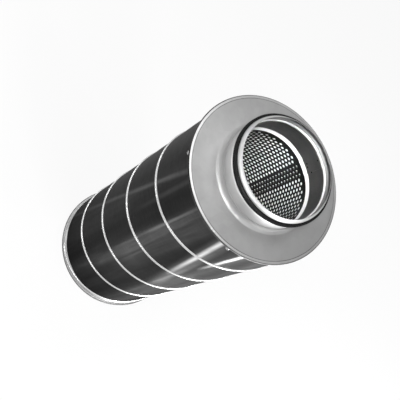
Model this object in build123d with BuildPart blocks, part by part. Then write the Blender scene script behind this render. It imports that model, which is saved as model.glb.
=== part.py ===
from build123d import *
from math import cos, pi, radians, sin
import os

os.makedirs("parts", exist_ok=True)

# Circular duct sound attenuator, standing on its rear mouth.
# Millimetres, +Z along the air path towards the front mouth, origin at the centre of the rear mouth.

# Overall lengths
body_length = 600.0
spigot_length = 55.0

# Outer casing: a tube wound from strip, with its lock seam standing out as a helix
casing_diameter = 250.0
casing_sheet = 0.6
seam_pitch = 120.0
seam_width = 6.0
seam_top_width = 4.2
seam_height = 1.8
seam_root = 0.3
seam_drop = 80.0

# End caps: drawn neck, flat face, hemmed rim, and a skirt inside the casing
cap_sheet = 0.7
neck_height = 11.5
neck_collar_length = 3.5
neck_flare_height = 3.2
neck_flare_width = 1.6
neck_foot_width = 5.6
rim_overhang = 5.0
hem_thickness = 3.4
skirt_depth = 28.0

# Spigots: duct collars with a rolled groove for the seal and a tapered mouth
spigot_diameter = 158.8
spigot_sheet = 0.7
groove_depth = 3.5
groove_floor_width = 4.0
groove_flank = 4.5
groove_height = 38.5
mouth_inset = 3.7
mouth_taper_length = 3.9
mouth_edge_length = 1.5
tail_length = 9.0
tail_taper_length = 6.0
tail_inset = 1.6

# Lip seals: one rubber ring with two lips that lean back from the mouth
seal_toe_length = 3.6
seal_back_thickness = 0.9
lip_reach = 3.3
lip_lean = 2.4
lip_root = 1.2
lip_pitch = 3.2

# Perforated tube: one rolled sheet with a lengthways lap
tube_sheet = 0.6
tube_end_gap = 1.0
tube_lap_angle = 17.0
tube_lap_edge = 90.0
joggle_angle = 1.7
ply_gap = 0.15
hole_columns = 14
hole_rows = 12
hole_width = 22.0
tube_plain_end = 19.0

# Filling: a thin fleece and one rolled mat
fleece_thickness = 0.6
mat_joint_width = 1.0

# Blind rivets through casing and skirt
rivet_count = 5
rivet_setback = 14.0
front_rivet_seam_angle = 31.4
rear_rivet_seam_angle = 41.6
rivet_diameter = 3.2
rivet_head_diameter = 6.5
rivet_head_height = 1.2
rivet_bulb_diameter = 4.8
rivet_bulb_length = 3.4
mandrel_diameter = 1.8
mandrel_end_length = 1.2
mandrel_recess = 0.5

# Clearances
neck_clearance = 0.1
skirt_clearance = 0.2
casing_end_clearance = 0.3
seal_clearance = 0.1
tube_clearance = 0.2
fleece_clearance = 0.15
mat_clearance = 0.3
rivet_hole_clearance = 0.05
rivet_seat_clearance = 0.05
mandrel_clearance = 0.05

# Heights
rear_face = spigot_length
front_face = rear_face + body_length
mid_height = rear_face + body_length / 2
front_rivet_height = front_face - rivet_setback
rear_rivet_height = rear_face + rivet_setback

# Radii
casing_radius = casing_diameter / 2
casing_bore_radius = casing_radius - casing_sheet
rim_radius = casing_radius + rim_overhang
spigot_radius = spigot_diameter / 2
neck_radius = spigot_radius + neck_clearance + cap_sheet
skirt_radius = casing_bore_radius - skirt_clearance
skirt_bore_radius = skirt_radius - cap_sheet
tube_bore_radius = spigot_radius + tube_clearance
tube_radius = tube_bore_radius + tube_sheet
tube_lap_radius = tube_radius + ply_gap + tube_sheet
fleece_bore_radius = tube_lap_radius + fleece_clearance
fleece_radius = fleece_bore_radius + fleece_thickness
rivet_seat_radius = casing_radius + rivet_seat_clearance
rivet_bulb_radius = skirt_bore_radius - rivet_seat_clearance
rivet_tail_radius = rivet_bulb_radius - rivet_bulb_length
mandrel_end_radius = rivet_tail_radius - mandrel_end_length

# Sections at the front end are drawn at the cap's face: across is the radius, up is towards the mouth
front_section = Plane(origin=(0, 0, front_face), x_dir=(1, 0, 0), z_dir=(0, -1, 0))
mid_plane = Plane.XY.offset(mid_height)


def at_angle(radius, angle):
    """A point on a circle around the axis, at an angle in degrees from +X."""
    return (radius * cos(radians(angle)), radius * sin(radians(angle)))


def seam_angle(height):
    """Where the seam crosses a height, in degrees from +X."""
    return 360 * (height - front_face + seam_drop) / seam_pitch


# Each ring of rivets is turned to stand clear of the seam
front_rivet_angle = seam_angle(front_rivet_height) + front_rivet_seam_angle
rear_rivet_angle = seam_angle(rear_rivet_height) + rear_rivet_seam_angle


# Outer casing
casing_end_drop = hem_thickness + casing_end_clearance
casing_bottom = rear_face + casing_end_drop
casing_top = front_face - casing_end_drop
seam_turns_down = int((body_length - seam_drop) / seam_pitch) + 1
seam_base = front_face - seam_drop - seam_turns_down * seam_pitch
seam_turns = seam_turns_down + 2


def drill_rivet_holes(radius, height, first_angle):
    """Radial holes for one ring of rivets, from the given radius inwards."""
    with PolarLocations(0, rivet_count, first_angle):
        with Locations(Location((radius + rivet_diameter, 0, height), (0, 90, 0))):
            Hole(rivet_diameter / 2 + rivet_hole_clearance, depth=3 * rivet_diameter)


with BuildPart() as outer_casing:
    with BuildSketch(Plane.XY.offset(seam_base - seam_pitch)):
        Circle(casing_radius)
        Circle(casing_bore_radius, mode=Mode.SUBTRACT)
    extrude(amount=(seam_turns + 2) * seam_pitch)
    with BuildLine():
        Helix(seam_pitch, seam_turns * seam_pitch, casing_radius, center=(0, 0, seam_base))
    with BuildSketch(Plane(origin=(0, 0, seam_base), x_dir=(1, 0, 0), z_dir=(0, -1, 0))):
        with BuildLine():
            Polyline(
                (casing_radius - seam_root, -seam_width / 2),
                (casing_radius + seam_height, -seam_top_width / 2),
                (casing_radius + seam_height, seam_top_width / 2),
                (casing_radius - seam_root, seam_width / 2),
                close=True,
            )
        make_face()
    sweep(is_frenet=True)
    split(bisect_by=Plane.XY.offset(casing_top), keep=Keep.BOTTOM)
    split(bisect_by=Plane.XY.offset(casing_bottom), keep=Keep.TOP)
    drill_rivet_holes(casing_radius, front_rivet_height, front_rivet_angle)
    drill_rivet_holes(casing_radius, rear_rivet_height, rear_rivet_angle)

outer_casing.part.label = "outer_casing"
export_step(outer_casing.part, "parts/outer_casing.step")


# End caps
def cap_section():
    """The front cap's sheet: one folded line of constant thickness."""
    with BuildSketch(front_section) as section:
        with BuildLine():
            Polyline(
                (neck_radius, neck_height),
                (neck_radius, neck_height - neck_collar_length),
                (neck_radius + neck_flare_width, neck_flare_height),
                (neck_radius + neck_foot_width, 0),
                (rim_radius, 0),
                (rim_radius, -hem_thickness),
                (skirt_radius, -hem_thickness),
                (skirt_radius, -skirt_depth),
            )
            offset(amount=cap_sheet, side=Side.RIGHT, kind=Kind.TANGENT)
        make_face()
    return section.sketch


with BuildPart() as front_end_cap:
    add(cap_section())
    revolve(axis=Axis.Z)
    drill_rivet_holes(skirt_radius, front_rivet_height, front_rivet_angle)

front_end_cap.part.label = "front_end_cap"
export_step(front_end_cap.part, "parts/front_end_cap.step")

with BuildPart() as rear_end_cap:
    add(cap_section().mirror(mid_plane))
    revolve(axis=Axis.Z)
    drill_rivet_holes(skirt_radius, rear_rivet_height, rear_rivet_angle)

rear_end_cap.part.label = "rear_end_cap"
export_step(rear_end_cap.part, "parts/rear_end_cap.step")


# Spigots
groove_rear = groove_height - groove_floor_width / 2
groove_front = groove_height + groove_floor_width / 2
shoulder_height = groove_front + groove_flank
groove_floor_radius = spigot_radius - groove_depth
mouth_radius = spigot_radius - mouth_inset


with BuildPart() as front_spigot:
    with BuildSketch(front_section):
        with BuildLine():
            Polyline(
                (spigot_radius - tail_inset, -tail_length),
                (spigot_radius, tail_taper_length - tail_length),
                (spigot_radius, groove_rear - groove_flank),
                (groove_floor_radius, groove_rear),
                (groove_floor_radius, groove_front),
                (spigot_radius, shoulder_height),
                (spigot_radius, spigot_length - mouth_edge_length - mouth_taper_length),
                (mouth_radius, spigot_length - mouth_edge_length),
                (mouth_radius, spigot_length),
            )
            offset(amount=spigot_sheet, side=Side.LEFT, kind=Kind.TANGENT)
        make_face()
    revolve(axis=Axis.Z)

front_spigot.part.label = "front_spigot"
export_step(front_spigot.part, "parts/front_spigot.step")

with BuildPart() as rear_spigot:
    mirror(front_spigot.part, about=mid_plane)

rear_spigot.part.label = "rear_spigot"
export_step(rear_spigot.part, "parts/rear_spigot.step")


# Lip seals
seal_bore_radius = spigot_radius + seal_clearance
seal_floor_radius = groove_floor_radius + seal_clearance
seal_back_radius = seal_bore_radius + seal_back_thickness
seal_toe_height = shoulder_height + seal_toe_length
lip_radius = seal_back_radius + lip_reach

with BuildPart() as front_seal:
    with BuildSketch(front_section):
        with BuildLine():
            Polyline(
                (seal_bore_radius, seal_toe_height),
                (lip_radius, seal_toe_height - lip_lean),
                (seal_back_radius, seal_toe_height - lip_root),
                (seal_back_radius, seal_toe_height - lip_pitch),
                (lip_radius, seal_toe_height - lip_pitch - lip_lean),
                (seal_back_radius, seal_toe_height - lip_pitch - lip_root),
                (seal_back_radius, groove_rear),
                (seal_floor_radius, groove_rear + seal_clearance),
                (seal_floor_radius, groove_front - seal_clearance),
                (seal_bore_radius, shoulder_height),
                close=True,
            )
        make_face()
    revolve(axis=Axis.Z)

front_seal.part.label = "front_seal"
export_step(front_seal.part, "parts/front_seal.step")

with BuildPart() as rear_seal:
    mirror(front_seal.part, about=mid_plane)

rear_seal.part.label = "rear_seal"
export_step(rear_seal.part, "parts/rear_seal.step")


# Perforated tube
tube_bottom = rear_face + tube_end_gap
tube_length = body_length - 2 * tube_end_gap
row_pitch = (tube_length - 2 * tube_plain_end) / hole_rows
column_angle = 360 / hole_columns
lap_ply_bore_radius = tube_radius + ply_gap
joggle_start = tube_lap_edge + 2 * joggle_angle
hole_punch_depth = 2 * (tube_lap_radius - tube_bore_radius)

with BuildPart() as hole_punch:
    with BuildSketch():
        RegularPolygon(hole_width / 2, 6, major_radius=False)
    extrude(amount=hole_punch_depth, both=True)

with BuildPart() as perforated_tube:
    with BuildSketch(Plane.XY.offset(tube_bottom)):
        with BuildLine():
            outer_ply = CenterArc((0, 0), lap_ply_bore_radius, tube_lap_edge - tube_lap_angle,
                                  tube_lap_angle + joggle_angle)
            Line(outer_ply @ 1, at_angle(tube_bore_radius, joggle_start))
            CenterArc((0, 0), tube_bore_radius, joggle_start, 360 - 2 * joggle_angle)
            offset(amount=tube_sheet, side=Side.LEFT)
        make_face()
    extrude(amount=tube_length)
    for first_column, first_row in ((0.5, 0.25), (1.5, 0.75)):
        with PolarLocations(0, hole_columns // 2, tube_lap_edge + first_column * column_angle):
            with Locations([
                Location((tube_radius, 0, tube_bottom + tube_plain_end + (first_row + row) * row_pitch),
                         (0, 90, 0))
                for row in range(hole_rows)
            ]):
                add(hole_punch.part, mode=Mode.SUBTRACT)

perforated_tube.part.label = "perforated_tube"
export_step(perforated_tube.part, "parts/perforated_tube.step")


# Fleece round the tube
with BuildPart() as fleece_wrap:
    with BuildSketch(Plane.XY.offset(tube_bottom)):
        Circle(fleece_radius)
        Circle(fleece_bore_radius, mode=Mode.SUBTRACT)
    extrude(amount=tube_length)

fleece_wrap.part.label = "fleece_wrap"
export_step(fleece_wrap.part, "parts/fleece_wrap.step")


# Mineral wool mat, with its ends trimmed to clear the rivets' tails inside the skirts
mat_radius = casing_bore_radius - mat_clearance
mat_end_radius = mandrel_end_radius - mat_clearance
mat_bore_radius = fleece_radius + mat_clearance
mat_half_length = body_length / 2 - cap_sheet - mat_clearance
mat_shoulder = body_length / 2 - skirt_depth - mat_clearance

with BuildPart() as mineral_wool_mat:
    with BuildSketch(Plane(origin=(0, 0, mid_height), x_dir=(1, 0, 0), z_dir=(0, -1, 0))):
        with BuildLine():
            Polyline(
                (mat_bore_radius, 0),
                (mat_radius, 0),
                (mat_radius, mat_shoulder),
                (mat_end_radius, mat_shoulder),
                (mat_end_radius, mat_half_length),
                (mat_bore_radius, mat_half_length),
                close=True,
            )
        make_face()
        mirror(about=Plane.XZ)
    revolve(axis=Axis.Z, revolution_arc=360 - mat_joint_width * 180 / (pi * mat_radius))

mineral_wool_mat.part.label = "mineral_wool_mat"
export_step(mineral_wool_mat.part, "parts/mineral_wool_mat.step")


# Blind rivets, each drawn along +X and turned into its place
mandrel_hole_radius = mandrel_diameter / 2 + mandrel_clearance


def rivet_ring(height, first_angle):
    """Hollow rivet bodies: a head outside the casing and a pressed bulb behind the skirt."""
    with BuildPart() as rivet:
        with BuildSketch(Plane(origin=(0, 0, height), x_dir=(1, 0, 0), z_dir=(0, -1, 0))):
            with BuildLine():
                Polyline(
                    (rivet_tail_radius, mandrel_hole_radius),
                    (rivet_tail_radius, rivet_diameter / 2),
                    (rivet_bulb_radius, rivet_bulb_diameter / 2),
                    (rivet_bulb_radius, rivet_diameter / 2),
                    (rivet_seat_radius, rivet_diameter / 2),
                    (rivet_seat_radius, rivet_head_diameter / 2),
                    (rivet_seat_radius + rivet_head_height, mandrel_diameter),
                    (rivet_seat_radius + rivet_head_height, mandrel_hole_radius),
                    close=True,
                )
            make_face()
        revolve(axis=Axis((0, 0, height), (1, 0, 0)))
    with BuildPart() as ring:
        with PolarLocations(0, rivet_count, first_angle):
            add(rivet.part)
    return ring.part


def mandrel_ring(height, first_angle):
    """Mandrel stubs: each broken stem ends inside its rivet's head."""
    stub_length = rivet_seat_radius + rivet_head_height - mandrel_recess - mandrel_end_radius
    with BuildPart() as ring:
        with PolarLocations(0, rivet_count, first_angle):
            with Locations(Location((mandrel_end_radius, 0, height), (0, 90, 0))):
                Cylinder(
                    mandrel_diameter / 2,
                    stub_length,
                    align=(Align.CENTER, Align.CENTER, Align.MIN),
                )
    return ring.part


with BuildPart() as front_rivets:
    add(rivet_ring(front_rivet_height, front_rivet_angle))

front_rivets.part.label = "front_rivets"
export_step(front_rivets.part, "parts/front_rivets.step")

with BuildPart() as rear_rivets:
    add(rivet_ring(rear_rivet_height, rear_rivet_angle))

rear_rivets.part.label = "rear_rivets"
export_step(rear_rivets.part, "parts/rear_rivets.step")

with BuildPart() as front_rivet_mandrels:
    add(mandrel_ring(front_rivet_height, front_rivet_angle))

front_rivet_mandrels.part.label = "front_rivet_mandrels"
export_step(front_rivet_mandrels.part, "parts/front_rivet_mandrels.step")

with BuildPart() as rear_rivet_mandrels:
    add(mandrel_ring(rear_rivet_height, rear_rivet_angle))

rear_rivet_mandrels.part.label = "rear_rivet_mandrels"
export_step(rear_rivet_mandrels.part, "parts/rear_rivet_mandrels.step")
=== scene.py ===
# %% [markdown]
# A circular duct sound attenuator in galvanised sheet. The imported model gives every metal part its
# place and size. This lesson dresses it: first the camera and the light, then the pieces whose look
# needs more than plain solids, and last a finish for every surface.

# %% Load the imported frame
import math

import bmesh
import bpy
from mathutils import Matrix, Vector


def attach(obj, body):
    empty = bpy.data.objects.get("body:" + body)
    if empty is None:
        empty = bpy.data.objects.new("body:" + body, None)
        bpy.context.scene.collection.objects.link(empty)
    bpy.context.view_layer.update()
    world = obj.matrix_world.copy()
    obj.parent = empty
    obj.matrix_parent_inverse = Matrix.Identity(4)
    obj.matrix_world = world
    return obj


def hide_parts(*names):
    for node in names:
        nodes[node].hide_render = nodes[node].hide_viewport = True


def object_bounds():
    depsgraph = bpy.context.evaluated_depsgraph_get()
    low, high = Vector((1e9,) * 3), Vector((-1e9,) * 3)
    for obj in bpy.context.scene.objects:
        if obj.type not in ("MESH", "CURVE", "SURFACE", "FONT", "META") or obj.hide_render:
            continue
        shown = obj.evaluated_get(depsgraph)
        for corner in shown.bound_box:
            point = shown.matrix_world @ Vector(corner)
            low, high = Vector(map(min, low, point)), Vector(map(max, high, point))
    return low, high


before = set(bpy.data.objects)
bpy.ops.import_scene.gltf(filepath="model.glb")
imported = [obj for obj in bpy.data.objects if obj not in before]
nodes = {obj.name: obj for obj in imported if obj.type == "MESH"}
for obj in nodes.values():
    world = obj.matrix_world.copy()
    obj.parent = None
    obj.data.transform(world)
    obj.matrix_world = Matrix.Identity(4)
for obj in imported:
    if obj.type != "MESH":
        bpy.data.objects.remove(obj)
cad_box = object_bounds()
MM = 0.001
SPIGOT_LENGTH = 55.0
rear_face = cad_box[0][2] / MM + SPIGOT_LENGTH
front_face = cad_box[1][2] / MM - SPIGOT_LENGTH
mid_height = (rear_face + front_face) / 2
print("nodes:", sorted(nodes))
print("cap faces at", rear_face, "and", front_face, "mm")

# %% [markdown]
# The camera. A photograph of a round thing fixes its own viewpoint: the ellipses of the two caps
# and of the mouth say where the lens was. The object stands upright here, so the camera looks down
# on it from the front and is rolled to the left, which lays the object across the picture as in the
# photo.

# %% Camera at the photograph's viewing angle
CAMERA_OFFSET = Vector((-12.3, -604.6, 790.5))
CAMERA_RIGHT = Vector((0.43861, 0.76684, 0.46859))
CAMERA_UP = Vector((-0.89868, 0.37349, 0.22997))
CAMERA_LENS = 60.33
SENSOR_WIDTH = 36.0


def camera_matrix(place, right, up):
    """A turned frame from two of the camera's axes; the third is square to both."""
    right = right.normalized()
    back = right.cross(up).normalized()
    up = back.cross(right)
    turn = Matrix((right, up, back)).transposed()
    return Matrix.Translation(place) @ turn.to_4x4()


camera_data = bpy.data.cameras.new("camera")
camera_data.lens = CAMERA_LENS
camera_data.sensor_width = SENSOR_WIDTH
camera_data.clip_start = 0.01
camera = bpy.data.objects.new("camera", camera_data)
bpy.context.scene.collection.objects.link(camera)
camera_place = (Vector((0, 0, front_face)) + CAMERA_OFFSET) * MM
camera.matrix_world = camera_matrix(camera_place, CAMERA_RIGHT, CAMERA_UP)
bpy.context.scene.camera = camera
bpy.context.scene.view_settings.view_transform = "Standard"
print("camera stands at", [round(value, 3) for value in camera_place])

# %% [markdown]
# Light. Bare zinc has hardly any colour of its own: it shows what stands around it. The photo was
# taken in a white studio, so the world is white to the camera and to mirror rays. Two soft lamps
# above light the caps, a small one shines into the mouth and lifts the pale fleece, and low strips
# all round give the casing and the seams their highlights.

# %% World
AMBIENT_STRENGTH = 0.5
SEEN_STRENGTH = 1.0
DARK_SIDE = (0.12, 0.66, 0.74)
DARK_SIDE_EDGE = 0.72
DARK_SIDE_CORE = 0.98
DARK_SIDE_GREY = 0.16


def make_world():
    """White all round, with one darker patch of ceiling that the flat cap mirrors to the camera."""
    world = bpy.data.worlds.new("studio")
    bpy.context.scene.world = world
    world.use_nodes = True
    tree = world.node_tree
    where = tree.nodes.new("ShaderNodeTexCoord")
    facing = tree.nodes.new("ShaderNodeVectorMath")
    facing.operation = "DOT_PRODUCT"
    facing.inputs[1].default_value = Vector(DARK_SIDE).normalized()
    tree.links.new(where.outputs["Generated"], facing.inputs[0])
    tone = tree.nodes.new("ShaderNodeValToRGB")
    tone.color_ramp.elements[0].position = DARK_SIDE_EDGE
    tone.color_ramp.elements[0].color = (1, 1, 1, 1)
    tone.color_ramp.elements[1].position = DARK_SIDE_CORE
    tone.color_ramp.elements[1].color = (DARK_SIDE_GREY, DARK_SIDE_GREY, DARK_SIDE_GREY, 1)
    tree.links.new(facing.outputs["Value"], tone.inputs["Fac"])
    ambient = tree.nodes["Background"]
    ambient.inputs["Strength"].default_value = AMBIENT_STRENGTH
    seen = tree.nodes.new("ShaderNodeBackground")
    seen.inputs["Strength"].default_value = SEEN_STRENGTH
    tree.links.new(tone.outputs["Color"], ambient.inputs["Color"])
    tree.links.new(tone.outputs["Color"], seen.inputs["Color"])
    mix = tree.nodes.new("ShaderNodeMixShader")
    tree.links.new(seen_by_eye_or_mirror(tree), mix.inputs[0])
    tree.links.new(ambient.outputs[0], mix.inputs[1])
    tree.links.new(seen.outputs[0], mix.inputs[2])
    tree.links.new(mix.outputs[0], tree.nodes["World Output"].inputs[0])


def seen_by_eye_or_mirror(tree):
    """1 for a camera, glossy or transmission ray, and 0 for the rays that only light things."""
    path = tree.nodes.new("ShaderNodeLightPath")
    first = tree.nodes.new("ShaderNodeMath")
    first.operation = "ADD"
    second = tree.nodes.new("ShaderNodeMath")
    second.operation = "ADD"
    second.use_clamp = True
    tree.links.new(path.outputs["Is Camera Ray"], first.inputs[0])
    tree.links.new(path.outputs["Is Glossy Ray"], first.inputs[1])
    tree.links.new(first.outputs[0], second.inputs[0])
    tree.links.new(path.outputs["Is Transmission Ray"], second.inputs[1])
    return second.outputs[0]


make_world()
print("world strength", AMBIENT_STRENGTH)

# %% Floor
FLOOR_COLOUR = (0.95, 0.95, 0.95, 1)
FLOOR_GLOW = 0.85
FLOOR_REACH = 6.0
FLOOR_DROP = 0.3


def make_floor():
    """White paint that partly shows as white to the camera: the shadow stays but is soft."""
    bm = bmesh.new()
    bmesh.ops.create_grid(bm, x_segments=1, y_segments=1, size=FLOOR_REACH)
    bmesh.ops.translate(bm, verts=bm.verts[:], vec=(0, 0, -FLOOR_DROP * MM))
    mesh = bpy.data.meshes.new("floor")
    bm.to_mesh(mesh)
    bm.free()
    floor = bpy.data.objects.new("floor", mesh)
    bpy.context.scene.collection.objects.link(floor)
    material = bpy.data.materials.new("floor_paint")
    material.use_nodes = True
    tree = material.node_tree
    paint = tree.nodes["Principled BSDF"]
    paint.inputs["Base Color"].default_value = FLOOR_COLOUR
    paint.inputs["Roughness"].default_value = 0.9
    paint.inputs["Specular IOR Level"].default_value = 0.1
    glow = tree.nodes.new("ShaderNodeEmission")
    glow.inputs["Strength"].default_value = 1.0
    share = tree.nodes.new("ShaderNodeMath")
    share.operation = "MULTIPLY"
    share.inputs[1].default_value = FLOOR_GLOW
    tree.links.new(seen_by_eye_or_mirror(tree), share.inputs[0])
    mix = tree.nodes.new("ShaderNodeMixShader")
    tree.links.new(share.outputs[0], mix.inputs[0])
    tree.links.new(paint.outputs[0], mix.inputs[1])
    tree.links.new(glow.outputs[0], mix.inputs[2])
    tree.links.new(mix.outputs[0], tree.nodes["Material Output"].inputs[0])
    mesh.materials.append(material)


make_floor()

# %% Lamps
LAMP_AIM = (0, 0, 0.45)
LOW_AIM = (0, 0, 0.3)
NO_LIMIT = 180.0
LAMPS = (
    # name, place, aim, width, height in metres, radiance, spread in degrees
    ("camera_side_softbox", (-0.15, -1.5, 2.6), (0, 0, 0.6), 0.9, 0.9, 4, NO_LIMIT),
    ("overhead_softbox", (-0.4, 0.45, 2.4), LAMP_AIM, 0.8, 0.8, 4, NO_LIMIT),
    ("duct_lamp", (-0.005, -0.24, 1.03), (0, 0.03, 0.66), 0.1, 0.1, 6, 26.0),
    ("right_strip", (1.37, -0.48, 0.3), LOW_AIM, 0.3, 0.6, 50, NO_LIMIT),
    ("far_right_strip", (1.45, 0.12, 0.3), LOW_AIM, 0.1, 0.6, 40, NO_LIMIT),
    ("front_strip", (-0.08, -1.45, 0.3), LOW_AIM, 0.05, 0.6, 40, NO_LIMIT),
    ("left_strip", (-1.04, -1.01, 0.3), LOW_AIM, 0.1, 0.6, 30, NO_LIMIT),
    ("far_left_strip", (-1.45, -0.06, 0.3), LOW_AIM, 0.3, 0.6, 8, NO_LIMIT),
)


def add_lamp(name, place, aim, width, height, radiance, spread):
    """A rectangular lamp. Its power follows from its area, so radiance is how white it looks."""
    data = bpy.data.lights.new(name, "AREA")
    data.shape = "RECTANGLE"
    data.size = width
    data.size_y = height
    data.energy = radiance * math.pi * width * height
    data.spread = math.radians(spread)
    lamp = bpy.data.objects.new(name, data)
    bpy.context.scene.collection.objects.link(lamp)
    lamp.location = place
    toward = Vector(aim) - Vector(place)
    lamp.rotation_euler = toward.to_track_quat("-Z", "Y").to_euler()
    lamp.visible_camera = False


for lamp_row in LAMPS:
    add_lamp(*lamp_row)

# %% [markdown]
# Most of this object is turned: caps, spigots and seals are one section carried round an axis. In
# Blender such a piece can be lathed with the Screw modifier, or its section can be spun in the mesh
# itself. Here a few corner points are joined, the corners that a press tool would leave soft are
# rounded with a vertex bevel, and the line is spun.

# %% Helpers: a section line, spun round the axis
ROUND_STEPS = 192
WELD_REACH = 0.01
CUT_REACH = 0.001
SMOOTH_BELOW = 35.0


def section_line(bm, corners, bends=None, closed=False):
    """Edges through (radius, height) corners in mm. Bends gives a corner's reach and segments."""
    points = [bm.verts.new((radius * MM, 0, height * MM)) for radius, height in corners]
    for pair in zip(points, points[1:]):
        bm.edges.new(pair)
    if closed:
        bm.edges.new((points[-1], points[0]))
    for index, (reach, segments) in (bends or {}).items():
        bmesh.ops.bevel(
            bm,
            geom=[points[index]],
            offset=reach * MM,
            offset_type="OFFSET",
            affect="VERTICES",
            segments=segments,
            profile=0.5,
            material=-1,
        )


def spin_round(bm, degrees=360.0, steps=ROUND_STEPS, rise=0.0):
    """Carries everything in the mesh round +Z, and closes the seam after a full turn."""
    full_turn = degrees == 360.0 and rise == 0.0
    bmesh.ops.spin(
        bm,
        geom=bm.verts[:] + bm.edges[:],
        cent=(0, 0, 0),
        axis=(0, 0, 1),
        dvec=(0, 0, rise / steps * MM),
        angle=math.radians(degrees),
        steps=steps,
        use_merge=full_turn,
    )
    bmesh.ops.remove_doubles(bm, verts=bm.verts[:], dist=WELD_REACH * MM)
    bmesh.ops.recalc_face_normals(bm, faces=bm.faces[:])


def turn_about_axis(bm, degrees):
    turn = Matrix.Rotation(math.radians(degrees), 3, "Z")
    bmesh.ops.rotate(bm, verts=bm.verts[:], cent=(0, 0, 0), matrix=turn)


def fresh_verts(result):
    """The vertices among what an operator made."""
    return [item for item in result["geom"] if isinstance(item, bmesh.types.BMVert)]


def cut_plane(bm, place, normal, outer=False, inner=False):
    """Cuts the whole mesh by a plane and clears the side that is named."""
    bmesh.ops.bisect_plane(
        bm,
        geom=bm.verts[:] + bm.edges[:] + bm.faces[:],
        dist=CUT_REACH * MM,
        plane_co=place,
        plane_no=normal,
        clear_outer=outer,
        clear_inner=inner,
    )


def to_rear(bm):
    """Mirrors a front piece about the middle of the body, and turns its faces out again."""
    for vert in bm.verts:
        vert.co.z = 2 * mid_height * MM - vert.co.z
    bmesh.ops.reverse_faces(bm, faces=bm.faces[:])
    return bm


def face_outwards(bm):
    """Turns an open sheet's faces away from the axis."""
    face = bm.faces[:][0]
    if face.normal.dot(face.calc_center_median() * Vector((1, 1, 0))) < 0:
        bmesh.ops.reverse_faces(bm, faces=bm.faces[:])


def make_piece(bm, name, replaced=None, smooth_below=SMOOTH_BELOW):
    """Turns the mesh into an object at the origin that rides on the body."""
    mesh = bpy.data.meshes.new(name)
    for face in bm.faces:
        face.smooth = True
    bm.to_mesh(mesh)
    bm.free()
    mesh.set_sharp_from_angle(angle=math.radians(smooth_below))
    piece = bpy.data.objects.new(name, mesh)
    bpy.context.scene.collection.objects.link(piece)
    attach(piece, "root")
    if replaced:
        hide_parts(replaced)
    mesh.calc_loop_triangles()
    print(name, "has", len(mesh.loop_triangles), "triangles")
    return piece


# %% [markdown]
# The end caps are pressed from one disc: a drawn neck that grips the spigot, a soft flare, a flat
# face, and a rim folded over the casing's end. The fold leaves a faint step just inside the rim.
# The sheet is thin, so the outer line is spun first and then solidified inwards.

# %% End caps
CAP_SHEET = 0.7
NECK_RADIUS = 80.2
NECK_HEIGHT = 11.5
NECK_COLLAR_END = 8.0
FLARE_HEIGHT = 3.2
FLARE_WIDTH = 1.6
NECK_FOOT_WIDTH = 5.6
CASING_RADIUS = 125.0
STEP_INNER_RADIUS = CASING_RADIUS - 0.9
STEP_OUTER_RADIUS = CASING_RADIUS + 0.1
RIM_RADIUS = 130.0
RIM_STEP = 0.45
RIM_BEND = 1.6
SKIRT_RADIUS = 124.2
SKIRT_DEPTH = 28.0
HEM_THICKNESS = 3.4
CAP_BENDS = {
    1: (1.6, 4),
    2: (2.0, 4),
    3: (0.9, 3),
    4: (0.25, 2),
    5: (0.25, 2),
    6: (RIM_BEND, 6),
    7: (RIM_BEND, 6),
}


def cap_mesh():
    bm = bmesh.new()
    face = front_face
    corners = [
        (NECK_RADIUS, face + NECK_HEIGHT),
        (NECK_RADIUS, face + NECK_COLLAR_END),
        (NECK_RADIUS + FLARE_WIDTH, face + FLARE_HEIGHT),
        (NECK_RADIUS + NECK_FOOT_WIDTH, face),
        (STEP_INNER_RADIUS, face),
        (STEP_OUTER_RADIUS, face - RIM_STEP),
        (RIM_RADIUS, face - RIM_STEP),
        (RIM_RADIUS, face - HEM_THICKNESS),
        (SKIRT_RADIUS, face - HEM_THICKNESS),
        (SKIRT_RADIUS, face - SKIRT_DEPTH),
    ]
    section_line(bm, corners, CAP_BENDS)
    spin_round(bm)
    bmesh.ops.solidify(bm, geom=bm.faces[:], thickness=CAP_SHEET * MM)
    return bm


caps = (
    make_piece(cap_mesh(), "front_pressed_cap", "front_end_cap"),
    make_piece(to_rear(cap_mesh()), "rear_pressed_cap", "rear_end_cap"),
)

# %% [markdown]
# The spigot is a rolled collar that a duct slides over. A bead rolled inwards makes the groove that
# the rubber seal sits in, the mouth is drawn in so that a duct finds its way on, and the two ends
# of the strip lap and are spot welded. The lap is a short stretch of the same section, spun through
# a few degrees just inside the ring.

# %% Spigots
SPIGOT_RADIUS = 79.4
SPIGOT_SHEET = 0.7
GROOVE_RADIUS = 75.9
MOUTH_INSET = 3.7
TAIL_INSET = 1.6
LAP_START = 73.0
LAP_END = 90.0
LAP_STEPS = 10
LAP_GAP = 0.05
LAP_PLY = 0.6
SPIGOT_BENDS = {
    1: (1.5, 3),
    2: (1.2, 3),
    3: (1.2, 3),
    4: (1.2, 3),
    5: (0.9, 3),
    6: (1.4, 4),
    7: (0.8, 2),
}


def spigot_line(bm, inset):
    """The collar's outer line from tail to mouth, moved in by the inset."""
    face = front_face
    outer = SPIGOT_RADIUS - inset
    corners = [
        (outer - TAIL_INSET, face - 9.0),
        (outer, face - 3.0),
        (outer, face + 32.0),
        (GROOVE_RADIUS - inset, face + 36.5),
        (GROOVE_RADIUS - inset, face + 40.5),
        (outer, face + 45.0),
        (outer, face + 49.6),
        (outer - MOUTH_INSET, face + 53.5),
        (outer - MOUTH_INSET, face + SPIGOT_LENGTH),
    ]
    section_line(bm, corners, SPIGOT_BENDS)


def spigot_mesh():
    bm = bmesh.new()
    spigot_line(bm, 0.0)
    spin_round(bm)
    bmesh.ops.solidify(bm, geom=bm.faces[:], thickness=SPIGOT_SHEET * MM)
    return bm


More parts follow.
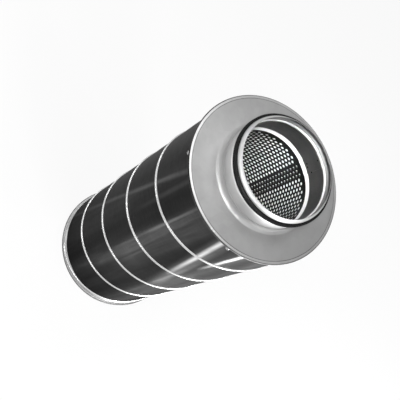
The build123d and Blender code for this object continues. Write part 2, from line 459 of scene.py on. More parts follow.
def spigot_lap_mesh():
    bm = bmesh.new()
    spigot_line(bm, SPIGOT_SHEET + LAP_GAP)
    spin_round(bm, LAP_END - LAP_START, steps=LAP_STEPS)
    turn_about_axis(bm, LAP_START)
    face_outwards(bm)
    bmesh.ops.solidify(bm, geom=bm.faces[:], thickness=LAP_PLY * MM)
    return bm


collars = (
    make_piece(spigot_mesh(), "front_collar", "front_spigot"),
    make_piece(spigot_lap_mesh(), "front_collar_lap", "front_spigot"),
    make_piece(to_rear(spigot_mesh()), "rear_collar", "rear_spigot"),
    make_piece(to_rear(spigot_lap_mesh()), "rear_collar_lap", "rear_spigot"),
)

# %% [markdown]
# The seal is an extruded rubber strip with two soft lips, laid round the groove and glued end to
# end. Its closed section is spun a hair short of a full turn, so the butt joint stays visible, and
# the two open ends are closed with flat faces.

# %% Lip seals
SEAL_GAP_DEGREES = 0.35
SEAL_JOINT_ANGLE = -269.4
SEAL_TOE_HEIGHT = 48.6
SEAL_SECTION = (
    # radius, drop from the toe
    (79.5, 0.0),
    (80.3, 0.05),
    (83.7, 2.6),
    (83.5, 3.2),
    (80.6, 2.0),
    (80.5, 3.4),
    (83.7, 6.0),
    (83.5, 6.6),
    (80.5, 5.4),
    (80.3, 12.2),
    (79.6, 12.5),
    (76.1, 12.0),
    (76.1, 8.2),
    (79.5, 3.6),
)
LIP_BENDS = {2: (0.22, 2), 3: (0.22, 2), 6: (0.22, 2), 7: (0.22, 2)}


def seal_mesh():
    bm = bmesh.new()
    toe = front_face + SEAL_TOE_HEIGHT
    corners = [(radius, toe - drop) for radius, drop in SEAL_SECTION]
    section_line(bm, corners, LIP_BENDS, closed=True)
    spin_round(bm, 360.0 - SEAL_GAP_DEGREES)
    bmesh.ops.holes_fill(bm, edges=[edge for edge in bm.edges if edge.is_boundary], sides=0)
    bmesh.ops.recalc_face_normals(bm, faces=bm.faces[:])
    turn_about_axis(bm, SEAL_JOINT_ANGLE + SEAL_GAP_DEGREES / 2)
    return bm


seals = (
    make_piece(seal_mesh(), "front_lip_seal", "front_seal"),
    make_piece(to_rear(seal_mesh()), "rear_lip_seal", "rear_seal"),
)

# %% [markdown]
# The casing is wound from strip on a mandrel, and the strip's edges are hooked and rolled together
# into a lock seam that runs round it as a helix. A screw surface is the way to make it: one strip
# width with its seam is spun with a rise of one strip width for each turn, the turns merge along
# their edges, and the ends are cut off square.

# %% Outer casing with its lock seam
SEAM_PITCH = 120.0
SEAM_HEIGHT = 1.8
SEAM_START = 40.0
CASING_SHEET = 0.6
CASING_TURNS = 8
STEPS_PER_TURN = 160
BAY_HOLLOW = 0.25
END_CLEARANCE = 0.3
CASING_SMOOTH_BELOW = 25.0
STRIP_SECTION = (
    # proud of the casing's radius, shift from the seam
    (-0.05, -SEAM_PITCH / 2),
    (-BAY_HOLLOW, -SEAM_PITCH / 4),
    (-0.1, -6.5),
    (-0.35, -2.2),
    (SEAM_HEIGHT, -1.2),
    (SEAM_HEIGHT, 1.5),
    (0.9, 2.6),
    (-0.3, 3.2),
    (-0.1, 6.5),
    (-BAY_HOLLOW, SEAM_PITCH / 4),
    (-0.05, SEAM_PITCH / 2),
)
SEAM_BENDS = {3: (0.3, 2), 4: (0.6, 3), 5: (0.6, 3), 7: (0.3, 2)}
casing_low = rear_face + HEM_THICKNESS + END_CLEARANCE
casing_high = front_face - HEM_THICKNESS - END_CLEARANCE


def casing_mesh():
    bm = bmesh.new()
    seam = rear_face + SEAM_START - 2 * SEAM_PITCH
    corners = [(CASING_RADIUS + proud, seam + shift) for proud, shift in STRIP_SECTION]
    section_line(bm, corners, SEAM_BENDS)
    spin_round(
        bm,
        360.0 * CASING_TURNS,
        steps=STEPS_PER_TURN * CASING_TURNS,
        rise=SEAM_PITCH * CASING_TURNS,
    )
    cut_plane(bm, (0, 0, casing_high * MM), (0, 0, 1), outer=True)
    cut_plane(bm, (0, 0, casing_low * MM), (0, 0, 1), inner=True)
    bmesh.ops.solidify(bm, geom=bm.faces[:], thickness=CASING_SHEET * MM)
    return bm


casing = make_piece(
    casing_mesh(), "spiral_casing", "outer_casing", CASING_SMOOTH_BELOW
)

# %% [markdown]
# The inner duct is perforated sheet: thousands of small round holes in staggered rows. Cutting them
# with a Boolean would be slow and untidy. The pattern has a repeat, so one diamond-shaped cell with
# a twelve-sided hole is bridged from two loops, copied into a column, the column is copied across
# the sheet, and the sheet is rolled up with its plain margins and its lap, as in the workshop. It
# is made as two halves that meet in the middle, so that neither mesh grows too heavy.

# %% Perforated sheet: one cell and its copies
TUBE_RADIUS = 79.9
TUBE_SHEET = 0.6
TUBE_LAP_STEP = 0.75
HOLE_DIAMETER = 5.0
HOLE_SIDES = 12
ROW_PITCH = 8.15
COLUMN_ANGLE = 4.9708
COLUMN_COUNT = 75
FIRST_COLUMN_ANGLE = -274.42
FIRST_ROW_SETBACK = 22.91
column_step = math.radians(COLUMN_ANGLE) * TUBE_RADIUS


def hole_cell(bm, across, along):
    """A diamond of sheet round one hole, flat in X and Y, in metres."""
    before = set(bm.verts)
    hole_radius = HOLE_DIAMETER / 2 * MM
    loop = bmesh.ops.create_circle(bm, cap_ends=False, segments=HOLE_SIDES, radius=hole_radius)
    ring_edges = {edge for vert in loop["verts"] for edge in vert.link_edges}
    reach_x = column_step * MM
    reach_y = ROW_PITCH / 2 * MM
    tips = [
        bm.verts.new(place)
        for place in ((reach_x, 0, 0), (0, reach_y, 0), (-reach_x, 0, 0), (0, -reach_y, 0))
    ]
    diamond = [bm.edges.new(pair) for pair in zip(tips, tips[1:] + tips[:1])]
    bmesh.ops.bridge_loops(bm, edges=list(ring_edges) + diamond)
    made = [vert for vert in bm.verts if vert not in before]
    bmesh.ops.translate(bm, verts=made, vec=(across * MM, along * MM, 0))
    return made


def whole_geometry(verts):
    edges = {edge for vert in verts for edge in vert.link_edges}
    faces = {face for vert in verts for face in vert.link_faces}
    return list(verts) + list(edges) + list(faces)


def copy_along(bm, verts, step, count):
    """Copies a patch so that it stands count times, a step apart."""
    patch = whole_geometry(verts)
    everything = list(verts)
    for index in range(1, count):
        fresh = fresh_verts(bmesh.ops.duplicate(bm, geom=patch))
        bmesh.ops.translate(bm, verts=fresh, vec=Vector(step) * MM * index)
        everything += fresh
    return everything


# %% Perforated sheet: rows and plain margins
INNER_EDGE_ANGLE = 270.0
OUTER_EDGE_ANGLE = 287.0
BODY_LENGTH = 600.0
SHEET_WELD = 0.02
TIP_SLACK = 1.05
SIDE_SLACK = 0.01
SIDE_DRAW = 1.5


def rows_of_cells(first_even, even_rows, first_odd, odd_rows):
    """Staggered columns, flat: X runs round the tube, Y is the setback from the front face."""
    bm = bmesh.new()
    even_cell = hole_cell(bm, 0, FIRST_ROW_SETBACK + first_even * ROW_PITCH)
    even_column = copy_along(bm, even_cell, (0, ROW_PITCH, 0), even_rows)
    odd_cell = hole_cell(bm, column_step, FIRST_ROW_SETBACK + (first_odd + 0.5) * ROW_PITCH)
    odd_column = copy_along(bm, odd_cell, (0, ROW_PITCH, 0), odd_rows)
    copy_along(bm, odd_column, (2 * column_step, 0, 0), COLUMN_COUNT // 2)
    copy_along(bm, even_column, (2 * column_step, 0, 0), COLUMN_COUNT // 2 + 1)
    bmesh.ops.remove_doubles(bm, verts=bm.verts[:], dist=SHEET_WELD * MM)
    return bm


def outline_edges(bm, stands_there):
    """Open edges longer than a hole's sides, both ends of which stand in the right place."""
    return [
        edge for edge in bm.edges
        if edge.is_boundary
        and edge.calc_length() > HOLE_DIAMETER / 2 * MM
        and all(stands_there(vert.co) for vert in edge.verts)
    ]


def draw_margin(bm, edges, axis, reach):
    """Draws edges out along X (0) or Y (1) into a plain margin with a straight edge."""
    for vert in fresh_verts(bmesh.ops.extrude_edge_only(bm, edges=edges)):
        vert.co[axis] = reach


def add_end_margin(bm, end_setback):
    """Closes the zigzag of the last row with a margin that ends at the setback."""
    slack = TIP_SLACK * (ROW_PITCH / 2 * MM)
    outermost = min if end_setback < BODY_LENGTH / 2 else max
    edge_row = outermost(vert.co.y for vert in bm.verts)
    edges = outline_edges(bm, lambda place: abs(place.y - edge_row) < slack)
    draw_margin(bm, edges, 1, end_setback * MM)


def add_side_margins(bm):
    """Draws both long sides out and cuts them where the rolled sheet begins and ends."""
    last_column = (COLUMN_COUNT - 1) * column_step * MM
    for limit, side in ((0.0, -1), (last_column, 1)):
        edges = outline_edges(bm, lambda place: (place.x - limit) * side > -SIDE_SLACK * MM)
        draw_margin(bm, edges, 0, limit + side * SIDE_DRAW * column_step * MM)
    start_cut = math.radians(INNER_EDGE_ANGLE + FIRST_COLUMN_ANGLE) * TUBE_RADIUS * MM
    end_cut = math.radians(OUTER_EDGE_ANGLE + 360 + FIRST_COLUMN_ANGLE) * TUBE_RADIUS * MM
    cut_plane(bm, (start_cut, 0, 0), (-1, 0, 0), outer=True)
    cut_plane(bm, (end_cut, 0, 0), (1, 0, 0), outer=True)
    bmesh.ops.remove_doubles(bm, verts=bm.verts[:], dist=SHEET_WELD * MM)


# %% Perforated sheet: the roll, in two halves
# Each half: its first even row and how many, its first odd row and how many.
FRONT_ROWS = (0, 35, 0, 34)
REAR_ROWS = (35, 34, 34, 34)
TUBE_END_SETBACK = 1.0
JOGGLE_START = 628.5
JOGGLE_END = 630.0


def roll_up(bm):
    """Rolls the flat sheet up, steps it out where the second ply begins, and thickens it."""
    for vert in bm.verts:
        round_angle = math.degrees(vert.co.x / (TUBE_RADIUS * MM)) - FIRST_COLUMN_ANGLE
        stepped = min(max((round_angle - JOGGLE_START) / (JOGGLE_END - JOGGLE_START), 0.0), 1.0)
        radius = (TUBE_RADIUS + TUBE_SHEET / 2 + stepped * TUBE_LAP_STEP) * MM
        turn = math.radians(-round_angle)
        height = front_face * MM - vert.co.y
        vert.co = (radius * math.cos(turn), radius * math.sin(turn), height)
    bmesh.ops.recalc_face_normals(bm, faces=bm.faces[:])
    face_outwards(bm)
    bmesh.ops.solidify(bm, geom=bm.faces[:], thickness=TUBE_SHEET * MM)


def sheet_half(first_even, even_rows, first_odd, odd_rows, end_setback):
    """Half of the tube's length, from flat cells to rolled sheet."""
    bm = rows_of_cells(first_even, even_rows, first_odd, odd_rows)
    add_end_margin(bm, end_setback)
    add_side_margins(bm)
    roll_up(bm)
    return bm


tube_sheets = (
    make_piece(
        sheet_half(*FRONT_ROWS, TUBE_END_SETBACK),
        "perforated_sheet_front",
        "perforated_tube",
    ),
    make_piece(
        sheet_half(*REAR_ROWS, BODY_LENGTH - TUBE_END_SETBACK),
        "perforated_sheet_rear",
        "perforated_tube",
    ),
)

# %% [markdown]
# Blind rivets hold casing and cap together. Each has a low domed head with a small pit where the
# pulling stem broke off. A dome section with its pit is spun, stood on the casing and repeated.

# %% Blind rivet heads
RIVET_SETBACK = 14.0
RIVET_COUNT = 5
FRONT_RIVET_ANGLE = -58.6
REAR_RIVET_ANGLE = -36.4
RIVET_STEPS = 24
RIVET_SEAT = CASING_RADIUS + 0.05
RIVET_SECTION = (
    # radius, height over the seat
    (0.95, -6.0),
    (0.95, 1.0),
    (1.5, 1.25),
    (2.7, 0.9),
    (3.25, 0.05),
    (3.25, -0.02),
    (1.6, -0.02),
    (1.6, -1.5),
    (2.4, -1.6),
    (2.4, -4.2),
    (1.6, -5.4),
    (1.3, -6.0),
)
RIVET_BENDS = {2: (0.25, 2), 3: (0.5, 2)}


def rivet_mesh(height, first_angle):
    """A ring of rivets: each is spun about +Z, laid along +X and copied round the casing."""
    bm = bmesh.new()
    section_line(bm, RIVET_SECTION, RIVET_BENDS, closed=True)
    spin_round(bm, steps=RIVET_STEPS)
    stand = Matrix.Rotation(math.radians(90), 3, "Y")
    bmesh.ops.rotate(bm, verts=bm.verts[:], cent=(0, 0, 0), matrix=stand)
    bmesh.ops.translate(bm, verts=bm.verts[:], vec=(RIVET_SEAT * MM, 0, height * MM))
    turn_about_axis(bm, first_angle)
    patch = bm.verts[:] + bm.edges[:] + bm.faces[:]
    for index in range(1, RIVET_COUNT):
        fresh = fresh_verts(bmesh.ops.duplicate(bm, geom=patch))
        turn = Matrix.Rotation(math.radians(360.0 / RIVET_COUNT * index), 3, "Z")
        bmesh.ops.rotate(bm, verts=fresh, cent=(0, 0, 0), matrix=turn)
    bmesh.ops.recalc_face_normals(bm, faces=bm.faces[:])
    return bm


rivet_heads = (
    make_piece(
        rivet_mesh(front_face - RIVET_SETBACK, FRONT_RIVET_ANGLE),
        "front_rivet_heads",
        "front_rivets",
    ),
    make_piece(
        rivet_mesh(rear_face + RIVET_SETBACK, REAR_RIVET_ANGLE),
        "rear_rivet_heads",
        "rear_rivets",
    ),
)

# %% [markdown]
# Small marks tell how the thing was made: the dark dimples of the spot welds where the collar's
# strip laps, a locating hole in the plain margin of the perforated sheet, and two drops of weld
# where the rim was closed. Dimple and hole are thin dark plugs set in the wall, the hole's plug
# being painted shade in place of a hole, and a drop is a spun dome with a painted highlight.

# %% Weld marks, the locating hole and the weld drops
WELD_PLACES = ((276.2, 4.3), (279.9, 3.1), (287.3, 8.8), (277.7, 29.6))
WELD_RADIUS = 1.2
WELD_LIFT = 0.12
LOCATING_ANGLE = 267.7
LOCATING_SETBACK = 18.8
LOCATING_RADIUS = 1.9
LOCATING_LIFT = 0.05
PLUG_DEPTH = 0.3
PLUG_SIDES = 16
DROP_ANGLES = (74.6, 76.9)
DROP_REACH = 127.2
DROP_SECTION = ((0.0, 0.6), (1.0, 0.45), (1.5, 0.0), (0.0, 0.0))
DROP_BENDS = {1: (0.3, 3)}
DROP_STEPS = 20


def wall_plug(bm, angle, radius, height, size):
    """A thin closed plug in the inside of a tube wall, its face towards the axis."""
    plug = bmesh.ops.create_cone(
        bm,
        cap_ends=True,
        segments=PLUG_SIDES,
        radius1=size * MM,
        radius2=size * MM,
        depth=PLUG_DEPTH * MM,
    )
    stand = Matrix.Rotation(math.radians(-90), 3, "Y")
    bmesh.ops.rotate(bm, verts=plug["verts"], cent=(0, 0, 0), matrix=stand)
    middle = radius + PLUG_DEPTH / 2
    bmesh.ops.translate(bm, verts=plug["verts"], vec=(middle * MM, 0, height * MM))
    turn = Matrix.Rotation(math.radians(-angle), 3, "Z")
    bmesh.ops.rotate(bm, verts=plug["verts"], cent=(0, 0, 0), matrix=turn)


weld_bm = bmesh.new()
weld_reach = SPIGOT_RADIUS - 2 * SPIGOT_SHEET - WELD_LIFT
for weld_angle, weld_height in WELD_PLACES:
    wall_plug(weld_bm, weld_angle, weld_reach, front_face + weld_height, WELD_RADIUS)
weld_marks = make_piece(weld_bm, "collar_weld_marks")

locating_bm = bmesh.new()
locating_reach = TUBE_RADIUS - TUBE_SHEET / 2 - LOCATING_LIFT
locating_height = front_face - LOCATING_SETBACK
wall_plug(locating_bm, LOCATING_ANGLE, locating_reach, locating_height, LOCATING_RADIUS)
locating_hole = make_piece(locating_bm, "sheet_locating_hole")

drop_bm = bmesh.new()
drop_place = Vector((DROP_REACH, 0, front_face - RIM_STEP)) * MM
for drop_angle in DROP_ANGLES:
    one = bmesh.new()
    section_line(one, DROP_SECTION, DROP_BENDS)
    spin_round(one, steps=DROP_STEPS)
    spare = bpy.data.meshes.new("drop")
    bmesh.ops.translate(one, verts=one.verts[:], vec=drop_place)
    turn_about_axis(one, -drop_angle)
    one.to_mesh(spare)
    one.free()
    drop_bm.from_mesh(spare)
    bpy.data.meshes.remove(spare)
rim_drops = make_piece(drop_bm, "rim_weld_drops")

# %% [markdown]
# Finishes. Each one is a small tree of nodes that reads Object coordinates, so the pattern stays
# where it is on the metal from every side. Galvanised sheet shows soft grey cloudiness, crystal
# patches and fine rolling lines; rubber is matt and slightly dusty; the fleece is white with a
# felted grain. Some copies of the zinc are set lighter or darker than the sheet is, as painted
# light and painted shade.


# %% Helpers: node trees
def start_material(name):
    material = bpy.data.materials.new(name)
    material.use_nodes = True
    tree = material.node_tree
    return material, tree, tree.nodes["Principled BSDF"]


def set_socket(material, socket, value):
    material.node_tree.nodes["Principled BSDF"].inputs[socket].default_value = value


def object_point(tree, scale=(1, 1, 1)):
    where = tree.nodes.new("ShaderNodeTexCoord")
    mapping = tree.nodes.new("ShaderNodeMapping")
    mapping.inputs["Scale"].default_value = scale
    tree.links.new(where.outputs["Object"], mapping.inputs["Vector"])
    return mapping.outputs["Vector"]


def noise_value(tree, point, scale, detail=3.0, roughness=0.5):
    noise = tree.nodes.new("ShaderNodeTexNoise")
    noise.inputs["Scale"].default_value = scale
    noise.inputs["Detail"].default_value = detail
    noise.inputs["Roughness"].default_value = roughness
    tree.links.new(point, noise.inputs["Vector"])
    return noise.outputs["Fac"]


def ramp(tree, value, stops):
    """A colour ramp through (place, grey) stops."""
    node = tree.nodes.new("ShaderNodeValToRGB")
    elements = node.color_ramp.elements
    while len(elements) < len(stops):
        elements.new(0.5)
    for element, (place, grey) in zip(elements, stops):
        element.position = place
        element.color = (grey, grey, grey, 1)
    tree.links.new(value, node.inputs["Fac"])
    return node.outputs["Color"]


def blend_colours(tree, mode, factor, first, second):
    node = tree.nodes.new("ShaderNodeMix")
    node.data_type = "RGBA"
    node.blend_type = mode
    node.inputs["Factor"].default_value = factor
    tree.links.new(first, node.inputs["A"])
    tree.links.new(second, node.inputs["B"])
    return node.outputs["Result"]


def add_bump(tree, shader, value, distance):
    bump = tree.nodes.new("ShaderNodeBump")
    bump.inputs["Distance"].default_value = distance
    bump.inputs["Strength"].default_value = 1.0
    tree.links.new(value, bump.inputs["Height"])
    tree.links.new(bump.outputs["Normal"], shader.inputs["Normal"])


# %% Galvanised sheet
CLOUD_SCALE = 9.0
CRYSTAL_SCALE = 84.0
GRAIN_SCALE = 60.0
GRAIN_STRETCH = (1, 1, 14)
FINE_SCALE = 220.0
FINE_RELIEF = 0.00004


def galvanised(name, dark, light, rough):
    """Zinc-coated steel: cloudy greys, crystal patches and fine lines, all in one metal."""
    material, tree, shader = start_material(name)
    shader.inputs["Metallic"].default_value = 1.0
    point = object_point(tree)
    clouds = noise_value(tree, point, CLOUD_SCALE, detail=4.0, roughness=0.55)
    tone = ramp(tree, clouds, ((0.25, dark), (0.75, light)))
    crystals = tree.nodes.new("ShaderNodeTexVoronoi")
    crystals.feature = "F1"
    crystals.inputs["Scale"].default_value = CRYSTAL_SCALE
    tree.links.new(point, crystals.inputs["Vector"])
    crystal_tone = ramp(tree, crystals.outputs["Color"], ((0.0, 0.94), (1.0, 1.0)))
    mixed = blend_colours(tree, "MULTIPLY", 1.0, tone, crystal_tone)
    tree.links.new(mixed, shader.inputs["Base Color"])
    grain = noise_value(tree, object_point(tree, GRAIN_STRETCH), GRAIN_SCALE, roughness=0.6)
    gloss = ramp(tree, grain, ((0.2, rough - 0.06), (0.8, rough + 0.08)))
    tree.links.new(gloss, shader.inputs["Roughness"])
    add_bump(tree, shader, noise_value(tree, point, FINE_SCALE, detail=2.0), FINE_RELIEF)
    return material


# %% [markdown]
# The casing needs more. A wound casing is never quite round, so it mirrors a studio in long streaks
# and sharp bright lines down its length, and its rear end shows a lighter band. Soft lamps alone
# give broad highlights, so all of this is painted into the base colour: a nearly black base as a
# painted dark reflection, painted reflection streaks, sharp painted highlights set by their angle
# round the axis and their length, painted shade towards the far end, and the lighter band along
# the rear end. They are fixed to the metal and don't move when the view turns, which is why there
# are only a few.


# %% Helpers: tones round and along a tube
STREAK_SCALE = 26.0
STREAK_STRETCH = (1, 1, 0.05)
FULL_SHARE = 0.4
LIGHT_BAND_BLEND = 1.5
LIGHT_BAND_SCALE = 40.0
LIGHT_BAND_DIP = 0.8
ALONG_ROTATION = 0.25


def multiply_base(tree, shader, tone):
    """Shades what already feeds the base colour."""
    base = shader.inputs["Base Color"].links[0].from_socket
    shaded = blend_colours(tree, "MULTIPLY", 1.0, base, tone)
    tree.links.new(shaded, shader.inputs["Base Color"])


def height_share(tree, low, high):
    """0 at the low height and 1 at the high one, both in mm."""
    split = tree.nodes.new("ShaderNodeSeparateXYZ")
    tree.links.new(object_point(tree), split.inputs[0])
    share = tree.nodes.new("ShaderNodeMapRange")
    share.inputs["From Min"].default_value = low * MM
    share.inputs["From Max"].default_value = high * MM
    tree.links.new(split.outputs["Z"], share.inputs["Value"])
    return share.outputs["Result"]


def painted_reflection_streaks(material, stops):
    """Painted reflection streaks down a tube that isn't quite round."""
    tree = material.node_tree
    point = object_point(tree, STREAK_STRETCH)
    streaks = noise_value(tree, point, STREAK_SCALE, detail=5.0, roughness=0.6)
    multiply_base(tree, tree.nodes["Principled BSDF"], ramp(tree, streaks, stops))


def maths(tree, operation, first, second=0.0):
    """A Math node whose inputs are numbers or other nodes' outputs."""
    node = tree.nodes.new("ShaderNodeMath")
    node.operation = operation
    for socket, value in zip(node.inputs, (first, second)):
        if isinstance(value, float):
            socket.default_value = value
        else:
            tree.links.new(value, socket)
    return node.outputs[0]


def painted_light_lines(material, lines):
    """Painted highlight lines down a tube lighten the base colour; a gain below 0 paints shade.

    Each line keeps its full strength over FULL_SHARE of its length and then fades out.
    """
    tree = material.node_tree
    around = tree.nodes.new("ShaderNodeTexGradient")
    around.gradient_type = "RADIAL"
    tree.links.new(object_point(tree), around.inputs["Vector"])
    split = tree.nodes.new("ShaderNodeSeparateXYZ")
    tree.links.new(object_point(tree), split.inputs[0])
    total = 1.0
    for angle, drift, half_width, gain, length in lines:
        centre = (angle + drift * front_face) / 360.0 - 0.5
        drifted = maths(tree, "MULTIPLY", split.outputs["Z"], -drift / (360.0 * MM))
        away = maths(tree, "ADD", maths(tree, "ADD", around.outputs["Fac"], drifted), centre)
        peak = tree.nodes.new("ShaderNodeMapRange")
        peak.interpolation_type = "SMOOTHSTEP"
        peak.inputs["From Min"].default_value = half_width / 360.0
        peak.inputs["From Max"].default_value = 0.0
        tree.links.new(maths(tree, "ABSOLUTE", away), peak.inputs["Value"])
        fade = height_share(tree, front_face - length, front_face - length * FULL_SHARE)
        faded = maths(tree, "MULTIPLY", peak.outputs["Result"], fade)
        total = maths(tree, "ADD", maths(tree, "MULTIPLY", faded, gain), total)
    multiply_base(tree, tree.nodes["Principled BSDF"], total)


def light_rear_band(material, height, tone):
    """A lighter band in the base colour below a height, at the rear end."""
    tree = material.node_tree
    shader = tree.nodes["Principled BSDF"]
    mix = tree.nodes.new("ShaderNodeMix")
    mix.data_type = "RGBA"
    share = height_share(tree, height - LIGHT_BAND_BLEND, height + LIGHT_BAND_BLEND)
    tree.links.new(share, mix.inputs["Factor"])
    band_mottling = noise_value(tree, object_point(tree), LIGHT_BAND_SCALE)
    mottled_band = ramp(tree, band_mottling, ((0.3, tone * LIGHT_BAND_DIP), (0.7, tone)))
    tree.links.new(mottled_band, mix.inputs["A"])
    tree.links.new(shader.inputs["Base Color"].links[0].from_socket, mix.inputs["B"])
    tree.links.new(mix.outputs["Result"], shader.inputs["Base Color"])


def along_strip(material, amount):
    """Fine rolling lines run round the tube, so a highlight is drawn out along it."""
    tree = material.node_tree
    shader = tree.nodes["Principled BSDF"]
    shader.inputs["Anisotropic"].default_value = amount
    shader.inputs["Anisotropic Rotation"].default_value = ALONG_ROTATION
    tangent = tree.nodes.new("ShaderNodeTangent")
    tangent.direction_type = "RADIAL"
    tangent.axis = "Z"
    tree.links.new(tangent.outputs["Tangent"], shader.inputs["Tangent"])


# %% Caps, collars, seams and perforated sheet
# A line: angle at the front, drift in degrees a mm, half width in degrees, gain, length in mm.
# Painted light on one side of the rim: a highlight on its flat, painted shade on its hem.
RIM_PAINTED_HIGHLIGHT = ((118.0, 0.0, 80.0, 0.6, 100.0),)
HEM_PAINTED_SHADE = ((118.0, 0.0, 80.0, -0.85, 100.0),)

# Each has a dark and a light grey, and a roughness.
cap_finish = galvanised("galvanised_cap", 0.37, 0.46, 0.55)
# Lit and shaded copies: painted shade in the step and on the hem, painted light on the rim flat.
cap_step_painted_shade = galvanised("cap_step_shade", 0.16, 0.24, 0.5)
cap_rim_painted_light = galvanised("cap_rim", 0.46, 0.56, 0.5)
cap_hem_painted_shade = galvanised("cap_hem_side", 0.1, 0.16, 0.5)
painted_light_lines(cap_rim_painted_light, RIM_PAINTED_HIGHLIGHT)
painted_light_lines(cap_hem_painted_shade, HEM_PAINTED_SHADE)
collar_finish = galvanised("galvanised_collar", 0.38, 0.5, 0.5)
# The bore gets a darker copy as painted shade, the bright edges a light one as painted highlight.
collar_painted_shade = galvanised("collar_bore", 0.2, 0.34, 0.5)
collar_mouth_finish = galvanised("collar_mouth", 0.4, 0.48, 0.5)
collar_painted_highlight = galvanised("collar_bright_edges", 0.86, 0.95, 0.55)
set_socket(collar_painted_highlight, "Metallic", 0.3)
seam_finish = galvanised("burnished_seam", 0.42, 0.62, 0.4)
# Nearly black as painted shade inside the tube; the lap's outer ply is a lighter copy, painted
# light.
perforated_painted_shade = galvanised("perforated_dark", 0.03, 0.05, 0.45)
outer_ply_painted_light = galvanised("perforated_outer_ply", 0.1, 0.16, 0.5)
print("zinc finishes ready")

# %% The casing's finish: painted reflections, highlights and shade
# Painted reflection streaks down the length.
STREAK_TONES = ((0.35, 0.35), (0.5, 0.6), (0.6, 1.0), (0.68, 1.9))
# Painted highlights: sharp lines down the casing.
PAINTED_HIGHLIGHT_LINES = (
    # angle at the front, drift in degrees a mm, half width in degrees, gain, length in mm
    (117.0, 0.048, 3.0, 2.5, 900.0),
    (111.0, 0.0, 3.0, 1.5, 220.0),
    (92.0, 0.0, 1.8, 1.2, 330.0),
    (64.5, -0.045, 3.0, 48.0, 240.0),
    (63.5, -0.045, 8.0, 8.0, 340.0),
    (78.0, 0.0, 16.0, 1.3, 900.0),
    (46.0, 0.012, 2.6, 14.0, 150.0),
)
# Painted shade towards the rear end, in the base colour and in the reflections' tint.
FAR_SHADE = ((0.0, 0.45), (0.6, 1.0))
FAR_REFLECTION_SHADE = ((0.0, 0.6), (0.5, 1.0))
# A lighter band along the rear end.
LIGHT_BAND_HEIGHT = 18.0
LIGHT_BAND_TONE = 0.45
HIGHLIGHT_STRETCH = 0.85

# Nearly black zinc: a painted dark reflection of what the casing mirrors.
casing_painted_reflections = galvanised("galvanised_casing", 0.02, 0.035, 0.5)
painted_reflection_streaks(casing_painted_reflections, STREAK_TONES)
casing_tree = casing_painted_reflections.node_tree
casing_shader = casing_tree.nodes["Principled BSDF"]
along_body = height_share(casing_tree, rear_face, front_face)
multiply_base(casing_tree, casing_shader, ramp(casing_tree, along_body, FAR_SHADE))
painted_light_lines(casing_painted_reflections, PAINTED_HIGHLIGHT_LINES)
light_rear_band(casing_painted_reflections, rear_face + LIGHT_BAND_HEIGHT, LIGHT_BAND_TONE)
along_strip(casing_painted_reflections, HIGHLIGHT_STRETCH)
far_reflection_shade = ramp(casing_tree, along_body, FAR_REFLECTION_SHADE)
casing_tree.links.new(far_reflection_shade, casing_shader.inputs["Specular Tint"])
print("casing finish has", len(casing_tree.nodes), "nodes")


# %% Rubber, fleece, wool and rivets
BUMP_FINENESS = 4
FINE_METAL = {"metallic": 1.0, "relief": 0.00003}


def plain_surface(name, dark, light, rough, scale, metallic=0.0, relief=0.0001):
    """A softly mottled tone between two greys, with a finer bump."""
    material, tree, shader = start_material(name)
    shader.inputs["Metallic"].default_value = metallic
    shader.inputs["Roughness"].default_value = rough
    point = object_point(tree)
    mottling = noise_value(tree, point, scale, detail=4.0, roughness=0.6)
    tone = ramp(tree, mottling, ((0.3, dark), (0.7, light)))
    tree.links.new(tone, shader.inputs["Base Color"])
    add_bump(tree, shader, noise_value(tree, point, scale * BUMP_FINENESS), relief)
    return material


# Each has a dark and a light grey, a roughness, and the scale of its mottling.
rubber_finish = plain_surface("seal_rubber_black", 0.004, 0.009, 0.55, 120.0)
set_socket(rubber_finish, "Specular IOR Level", 0.06)
fleece_finish = plain_surface("fleece_white", 0.86, 0.95, 0.95, 300.0)
wool_finish = plain_surface("mineral_wool", 0.42, 0.6, 0.95, 160.0)
rivet_finish = plain_surface("rivet_aluminium", 0.24, 0.36, 0.45, 200.0, **FINE_METAL)
# Dark joints of the welds, and painted shade standing in for the locating hole.
weld_dark_and_hole_painted_shade = plain_surface("dark_pit", 0.01, 0.03, 0.8, 200.0, relief=0.00003)
stem_finish = plain_surface("stem_steel", 0.2, 0.3, 0.4, 200.0, **FINE_METAL)
print("materials:", len(bpy.data.materials))


# %% Finishes on the caps, collars and small pieces
RIM_EDGE_BAND = 2.2
TAIL_LIMIT = -0.3
BEAD_START = 38.2
BEAD_END = 43.2
SHOULDER_START = 46.0
MOUTH_START = 50.6


def dress(item, *materials):
    """Gives an object its materials; a face's material_index counts them from 0."""
    item.data.materials.clear()
    for material in materials:
        item.data.materials.append(material)


# Caps: painted shade on the step ring and the hem, painted light on the rim flat.
for item in caps:
    dress(item, cap_finish, cap_step_painted_shade, cap_rim_painted_light, cap_hem_painted_shade)
    for face in item.data.polygons:
        reach = math.hypot(face.center.x, face.center.y) / MM
        if STEP_INNER_RADIUS < reach < STEP_OUTER_RADIUS:
            face.material_index = 1
        elif reach > RIM_RADIUS - RIM_EDGE_BAND:
            face.material_index = 3
        elif reach > CASING_RADIUS:
            face.material_index = 2
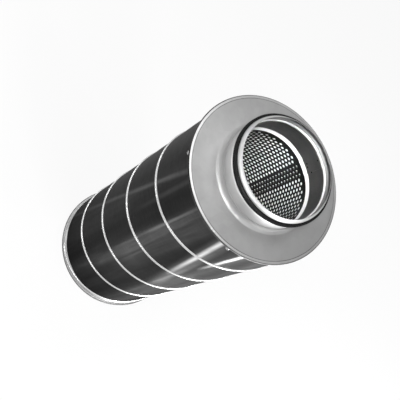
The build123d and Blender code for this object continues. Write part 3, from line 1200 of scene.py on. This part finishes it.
# Tail and the bead's inner faces: painted highlight; bore and the shoulder under the mouth: painted
# shade.
for item in collars:
    dress(item, collar_finish, collar_painted_shade, collar_mouth_finish, collar_painted_highlight)
    for face in item.data.polygons:
        middle = face.center
        proud = abs(middle.z / MM - mid_height) - (front_face - mid_height)
        inward = face.normal.x * middle.x + face.normal.y * middle.y < 0
        if proud < TAIL_LIMIT or (inward and BEAD_START < proud < BEAD_END):
            face.material_index = 3
        elif proud > MOUTH_START:
            face.material_index = 2
        elif inward or proud > SHOULDER_START:
            face.material_index = 1
# The weld drops carry the collar's painted highlight.
dress(rim_drops, collar_painted_highlight)
# Weld marks are dark joints; the locating hole's plug is painted shade in place of a hole.
for item in (weld_marks, locating_hole):
    dress(item, weld_dark_and_hole_painted_shade)
for item in seals:
    dress(item, rubber_finish)
for item in rivet_heads:
    dress(item, rivet_finish)
print("caps, collars and small pieces dressed")

# %% Finishes on the sheets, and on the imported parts
PLY_SLACK = 0.08
SEAM_SLACK = 0.15
outer_ply = (TUBE_RADIUS + TUBE_SHEET / 2 + PLY_SLACK) * MM
# The perforated sheet gets painted shade, its lap's outer ply painted light.
for item in tube_sheets:
    dress(item, perforated_painted_shade, outer_ply_painted_light)
    for face in item.data.polygons:
        if math.hypot(face.center.x, face.center.y) > outer_ply:
            face.material_index = 1
dress(casing, casing_painted_reflections, seam_finish)
seam_faces = 0
for face in casing.data.polygons:
    if math.hypot(face.center.x, face.center.y) > (CASING_RADIUS + SEAM_SLACK) * MM:
        face.material_index = 1
        seam_faces += 1
print("seam faces", seam_faces)
for node_name, material in (
    ("fleece_wrap", fleece_finish),
    ("mineral_wool_mat", wool_finish),
    ("front_rivet_mandrels", stem_finish),
    ("rear_rivet_mandrels", stem_finish),
    ("outer_casing", casing_painted_reflections),
    ("front_end_cap", cap_finish),
    ("rear_end_cap", cap_finish),
    ("front_spigot", collar_finish),
    ("rear_spigot", collar_finish),
    ("front_seal", rubber_finish),
    ("rear_seal", rubber_finish),
    ("perforated_tube", perforated_painted_shade),
    ("front_rivets", rivet_finish),
    ("rear_rivets", rivet_finish),
):
    dress(nodes[node_name], material)
